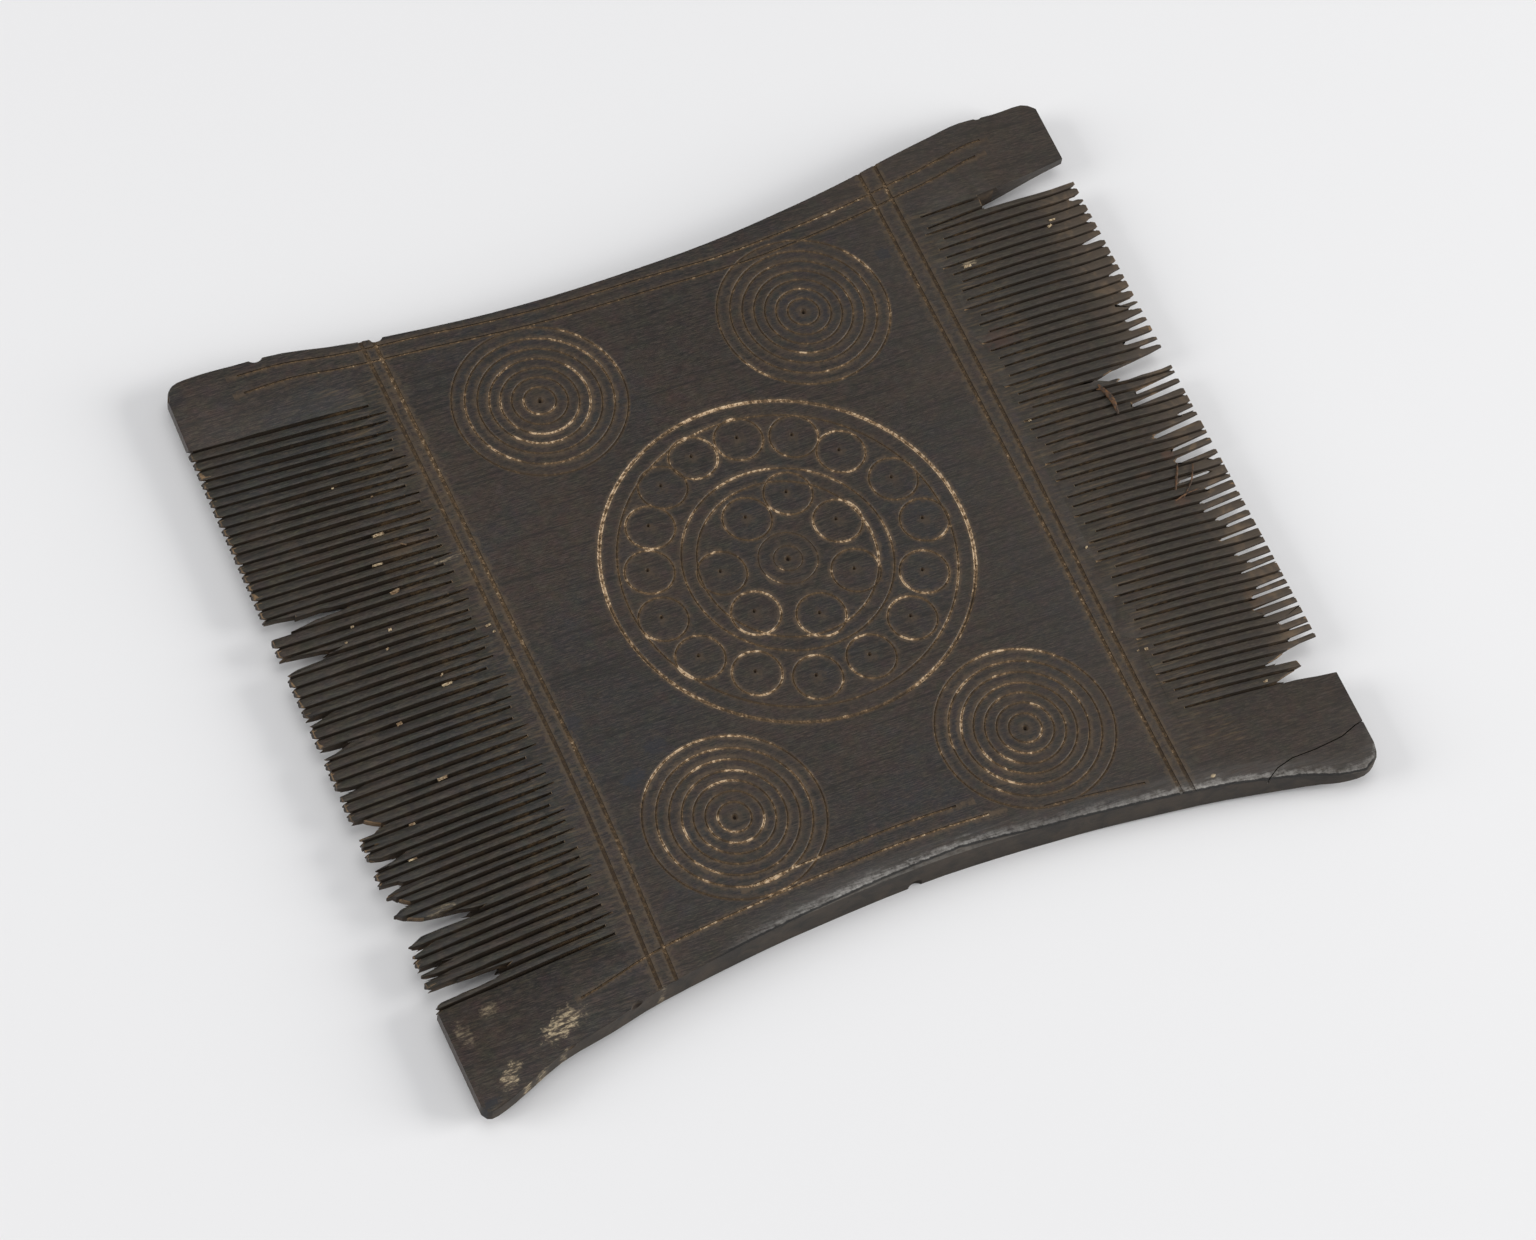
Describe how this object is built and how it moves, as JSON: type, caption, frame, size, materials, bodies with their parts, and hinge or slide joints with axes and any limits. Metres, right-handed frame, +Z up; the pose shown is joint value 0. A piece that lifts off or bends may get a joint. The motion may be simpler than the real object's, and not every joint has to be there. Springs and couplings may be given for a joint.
{
  "type": "double-ended comb",
  "caption": "Flat double-ended hair comb cut from one board of dark wood, waisted in the middle, with coarser teeth at one end, finer teeth at the other and compass-cut rings between.",
  "frame": {"origin": "on the flat underside, directly below the centre of the engraved medallion", "axes": "+X along the teeth towards the finer ones, +Y across the teeth towards the shorter of the two curved sides, +Z up through the engraved face"},
  "size_m": [0.1017, 0.0929, 0.004],
  "materials": {
    "wood": "satin, worn by handling, with tan dust in the engraved lines"
  },
  "bodies": {
    "root": {"comb": "wood"}
  },
  "joints": []
}
